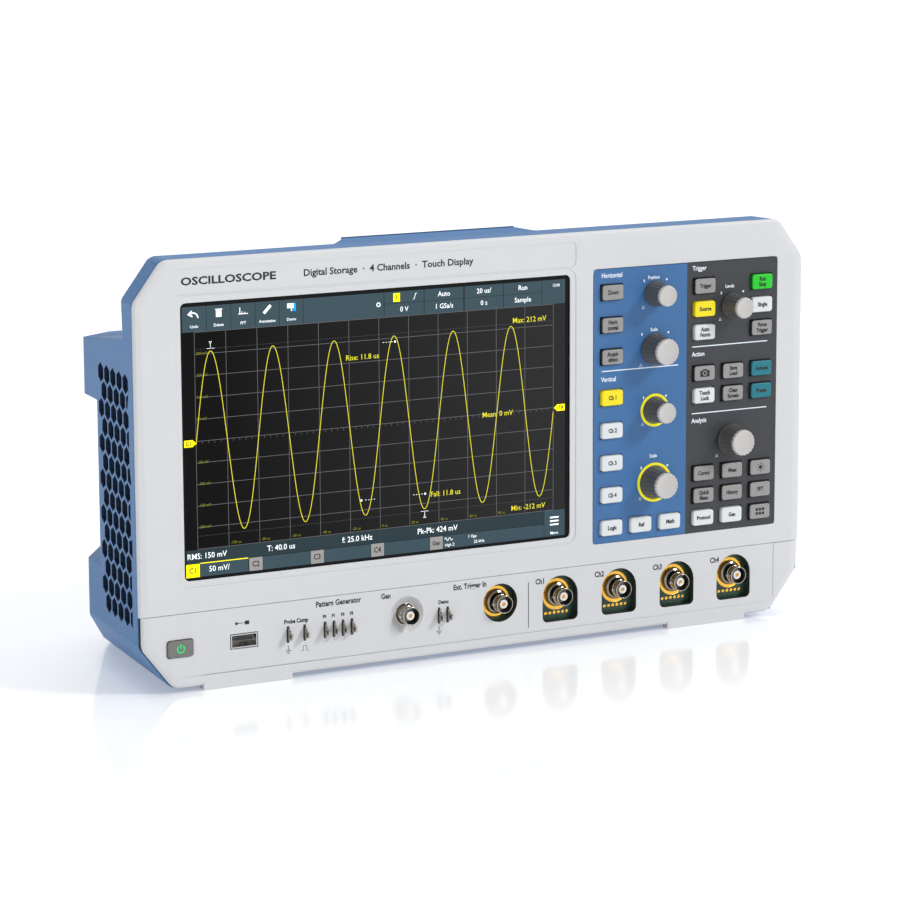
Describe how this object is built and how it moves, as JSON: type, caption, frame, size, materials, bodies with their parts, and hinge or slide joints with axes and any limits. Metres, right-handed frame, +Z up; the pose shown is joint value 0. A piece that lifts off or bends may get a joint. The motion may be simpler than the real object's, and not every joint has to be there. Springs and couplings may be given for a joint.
{
  "type": "oscilloscope",
  "caption": "Bench oscilloscope with a wide touch display, sprung keys, turning knobs, coaxial inputs, a vented rear shell with a finger ledge, and folding front feet.",
  "frame": {"origin": "centre of the bounding box's bottom face, on the plane of the feet", "axes": "+X to the right along the front, +Y from the front to the rear, +Z up"},
  "size_m": [0.39, 0.152, 0.219],
  "materials": {
    "bezel": "fine-textured off-white",
    "shell": "fine-textured mid blue",
    "panel": "printed membrane, blue and dark grey",
    "screen_glass": "glossy, lit from behind",
    "display": "black metal and plastic",
    "grey_key": "satin grey",
    "white_key": "satin translucent white",
    "yellow_key": "lit yellow",
    "green_key": "lit green",
    "teal_key": "lit teal",
    "rubber_key": "matt grey rubber",
    "knob": "dark grey body, light satin cap",
    "nickel": "nickel plated",
    "steel": "plated sheet steel",
    "circuit_board": "dark green solder mask with gold pads",
    "foot": "matt blue, rubber tip",
    "black_plastic": "matt black"
  },
  "bodies": {
    "root": {"front_bezel": "bezel", "connector_bezel": "bezel", "rear_shell": "shell", "touch_glass": "screen_glass", "display_module": "display", "control_panel": "panel", "keypad_board": "circuit_board", "input_board": "circuit_board", "channel_1_socket": "nickel", "channel_2_socket": "nickel", "channel_3_socket": "nickel", "channel_4_socket": "nickel", "external_trigger_socket": "nickel", "generator_socket": "nickel", "usb_host_port": "steel", "terminal_strip": "nickel", "main_board": "circuit_board", "power_supply": "steel", "fan_housing": "black_plastic"},
    "zoom_key": {"zoom_key": "grey_key"},
    "horizontal_key": {"horizontal_key": "grey_key"},
    "acquire_key": {"acquire_key": "grey_key"},
    "channel_1_key": {"channel_1_key": "yellow_key"},
    "channel_2_key": {"channel_2_key": "white_key"},
    "channel_3_key": {"channel_3_key": "white_key"},
    "channel_4_key": {"channel_4_key": "white_key"},
    "logic_key": {"logic_key": "white_key"},
    "reference_key": {"reference_key": "white_key"},
    "math_key": {"math_key": "white_key"},
    "trigger_key": {"trigger_key": "grey_key"},
    "run_stop_key": {"run_stop_key": "green_key"},
    "source_key": {"source_key": "yellow_key"},
    "single_key": {"single_key": "white_key"},
    "auto_norm_key": {"auto_norm_key": "white_key"},
    "force_trigger_key": {"force_trigger_key": "grey_key"},
    "camera_key": {"camera_key": "grey_key"},
    "save_load_key": {"save_load_key": "grey_key"},
    "autoset_key": {"autoset_key": "teal_key"},
    "touch_lock_key": {"touch_lock_key": "white_key"},
    "clear_screen_key": {"clear_screen_key": "grey_key"},
    "preset_key": {"preset_key": "teal_key"},
    "cursor_key": {"cursor_key": "grey_key"},
    "measure_key": {"measure_key": "grey_key"},
    "intensity_key": {"intensity_key": "grey_key"},
    "quick_measure_key": {"quick_measure_key": "grey_key"},
    "history_key": {"history_key": "grey_key"},
    "spectrum_key": {"spectrum_key": "grey_key"},
    "protocol_key": {"protocol_key": "white_key"},
    "generator_key": {"generator_key": "white_key"},
    "apps_key": {"apps_key": "grey_key"},
    "power_key": {"power_key": "rubber_key"},
    "horizontal_position_knob": {"horizontal_position_knob": "knob"},
    "horizontal_scale_knob": {"horizontal_scale_knob": "knob"},
    "vertical_position_knob": {"vertical_position_knob": "knob"},
    "vertical_scale_knob": {"vertical_scale_knob": "knob"},
    "trigger_level_knob": {"trigger_level_knob": "knob"},
    "analysis_knob": {"analysis_knob": "knob"},
    "tilt_foot_left": {"tilt_foot_left": "foot"},
    "tilt_foot_right": {"tilt_foot_right": "foot"},
    "fan_rotor": {"fan_rotor": "black_plastic"}
  },
  "joints": [
    {"name": "zoom_press", "type": "slide", "parent": "root", "child": "zoom_key", "axis": [0, 1, 0], "range_m": [0, 0.0012], "stiffness_N_per_m": 600},
    {"name": "horizontal_press", "type": "slide", "parent": "root", "child": "horizontal_key", "axis": [0, 1, 0], "range_m": [0, 0.0012], "stiffness_N_per_m": 600},
    {"name": "acquire_press", "type": "slide", "parent": "root", "child": "acquire_key", "axis": [0, 1, 0], "range_m": [0, 0.0012], "stiffness_N_per_m": 600},
    {"name": "channel_1_press", "type": "slide", "parent": "root", "child": "channel_1_key", "axis": [0, 1, 0], "range_m": [0, 0.0012], "stiffness_N_per_m": 600},
    {"name": "channel_2_press", "type": "slide", "parent": "root", "child": "channel_2_key", "axis": [0, 1, 0], "range_m": [0, 0.0012], "stiffness_N_per_m": 600},
    {"name": "channel_3_press", "type": "slide", "parent": "root", "child": "channel_3_key", "axis": [0, 1, 0], "range_m": [0, 0.0012], "stiffness_N_per_m": 600},
    {"name": "channel_4_press", "type": "slide", "parent": "root", "child": "channel_4_key", "axis": [0, 1, 0], "range_m": [0, 0.0012], "stiffness_N_per_m": 600},
    {"name": "logic_press", "type": "slide", "parent": "root", "child": "logic_key", "axis": [0, 1, 0], "range_m": [0, 0.0012], "stiffness_N_per_m": 600},
    {"name": "reference_press", "type": "slide", "parent": "root", "child": "reference_key", "axis": [0, 1, 0], "range_m": [0, 0.0012], "stiffness_N_per_m": 600},
    {"name": "math_press", "type": "slide", "parent": "root", "child": "math_key", "axis": [0, 1, 0], "range_m": [0, 0.0012], "stiffness_N_per_m": 600},
    {"name": "trigger_press", "type": "slide", "parent": "root", "child": "trigger_key", "axis": [0, 1, 0], "range_m": [0, 0.0012], "stiffness_N_per_m": 600},
    {"name": "run_stop_press", "type": "slide", "parent": "root", "child": "run_stop_key", "axis": [0, 1, 0], "range_m": [0, 0.0012], "stiffness_N_per_m": 600},
    {"name": "source_press", "type": "slide", "parent": "root", "child": "source_key", "axis": [0, 1, 0], "range_m": [0, 0.0012], "stiffness_N_per_m": 600},
    {"name": "single_press", "type": "slide", "parent": "root", "child": "single_key", "axis": [0, 1, 0], "range_m": [0, 0.0012], "stiffness_N_per_m": 600},
    {"name": "auto_norm_press", "type": "slide", "parent": "root", "child": "auto_norm_key", "axis": [0, 1, 0], "range_m": [0, 0.0012], "stiffness_N_per_m": 600},
    {"name": "force_trigger_press", "type": "slide", "parent": "root", "child": "force_trigger_key", "axis": [0, 1, 0], "range_m": [0, 0.0012], "stiffness_N_per_m": 600},
    {"name": "camera_press", "type": "slide", "parent": "root", "child": "camera_key", "axis": [0, 1, 0], "range_m": [0, 0.0012], "stiffness_N_per_m": 600},
    {"name": "save_load_press", "type": "slide", "parent": "root", "child": "save_load_key", "axis": [0, 1, 0], "range_m": [0, 0.0012], "stiffness_N_per_m": 600},
    {"name": "autoset_press", "type": "slide", "parent": "root", "child": "autoset_key", "axis": [0, 1, 0], "range_m": [0, 0.0012], "stiffness_N_per_m": 600},
    {"name": "touch_lock_press", "type": "slide", "parent": "root", "child": "touch_lock_key", "axis": [0, 1, 0], "range_m": [0, 0.0012], "stiffness_N_per_m": 600},
    {"name": "clear_screen_press", "type": "slide", "parent": "root", "child": "clear_screen_key", "axis": [0, 1, 0], "range_m": [0, 0.0012], "stiffness_N_per_m": 600},
    {"name": "preset_press", "type": "slide", "parent": "root", "child": "preset_key", "axis": [0, 1, 0], "range_m": [0, 0.0012], "stiffness_N_per_m": 600},
    {"name": "cursor_press", "type": "slide", "parent": "root", "child": "cursor_key", "axis": [0, 1, 0], "range_m": [0, 0.0012], "stiffness_N_per_m": 600},
    {"name": "measure_press", "type": "slide", "parent": "root", "child": "measure_key", "axis": [0, 1, 0], "range_m": [0, 0.0012], "stiffness_N_per_m": 600},
    {"name": "intensity_press", "type": "slide", "parent": "root", "child": "intensity_key", "axis": [0, 1, 0], "range_m": [0, 0.0012], "stiffness_N_per_m": 600},
    {"name": "quick_measure_press", "type": "slide", "parent": "root", "child": "quick_measure_key", "axis": [0, 1, 0], "range_m": [0, 0.0012], "stiffness_N_per_m": 600},
    {"name": "history_press", "type": "slide", "parent": "root", "child": "history_key", "axis": [0, 1, 0], "range_m": [0, 0.0012], "stiffness_N_per_m": 600},
    {"name": "spectrum_press", "type": "slide", "parent": "root", "child": "spectrum_key", "axis": [0, 1, 0], "range_m": [0, 0.0012], "stiffness_N_per_m": 600},
    {"name": "protocol_press", "type": "slide", "parent": "root", "child": "protocol_key", "axis": [0, 1, 0], "range_m": [0, 0.0012], "stiffness_N_per_m": 600},
    {"name": "generator_press", "type": "slide", "parent": "root", "child": "generator_key", "axis": [0, 1, 0], "range_m": [0, 0.0012], "stiffness_N_per_m": 600},
    {"name": "apps_press", "type": "slide", "parent": "root", "child": "apps_key", "axis": [0, 1, 0], "range_m": [0, 0.0012], "stiffness_N_per_m": 600},
    {"name": "power_press", "type": "slide", "parent": "root", "child": "power_key", "axis": [0, 1, 0], "range_m": [0, 0.001], "stiffness_N_per_m": 600},
    {"name": "horizontal_position_turn", "type": "hinge", "parent": "root", "child": "horizontal_position_knob", "pos_m": [0.102, -0.063, 0.182], "axis": [0, -1, 0], "continuous": true},
    {"name": "horizontal_scale_turn", "type": "hinge", "parent": "root", "child": "horizontal_scale_knob", "pos_m": [0.102, -0.063, 0.1525], "axis": [0, -1, 0], "continuous": true},
    {"name": "vertical_position_turn", "type": "hinge", "parent": "root", "child": "vertical_position_knob", "pos_m": [0.102, -0.063, 0.1199], "axis": [0, -1, 0], "continuous": true},
    {"name": "vertical_scale_turn", "type": "hinge", "parent": "root", "child": "vertical_scale_knob", "pos_m": [0.102, -0.063, 0.0811], "axis": [0, -1, 0], "continuous": true},
    {"name": "trigger_level_turn", "type": "hinge", "parent": "root", "child": "trigger_level_knob", "pos_m": [0.15, -0.063, 0.1724], "axis": [0, -1, 0], "continuous": true},
    {"name": "analysis_turn", "type": "hinge", "parent": "root", "child": "analysis_knob", "pos_m": [0.15, -0.063, 0.1], "axis": [0, -1, 0], "continuous": true},
    {"name": "tilt_foot_left_swing", "type": "hinge", "parent": "root", "child": "tilt_foot_left", "pos_m": [-0.136, -0.0506, 0.0047], "axis": [-1, 0, 0], "range_deg": [0, 80]},
    {"name": "tilt_foot_right_swing", "type": "hinge", "parent": "root", "child": "tilt_foot_right", "pos_m": [0.136, -0.0506, 0.0047], "axis": [-1, 0, 0], "range_deg": [0, 80]},
    {"name": "fan_spin", "type": "hinge", "parent": "root", "child": "fan_rotor", "pos_m": [0.153, -0.015, 0.0985], "axis": [1, 0, 0], "continuous": true}
  ]
}
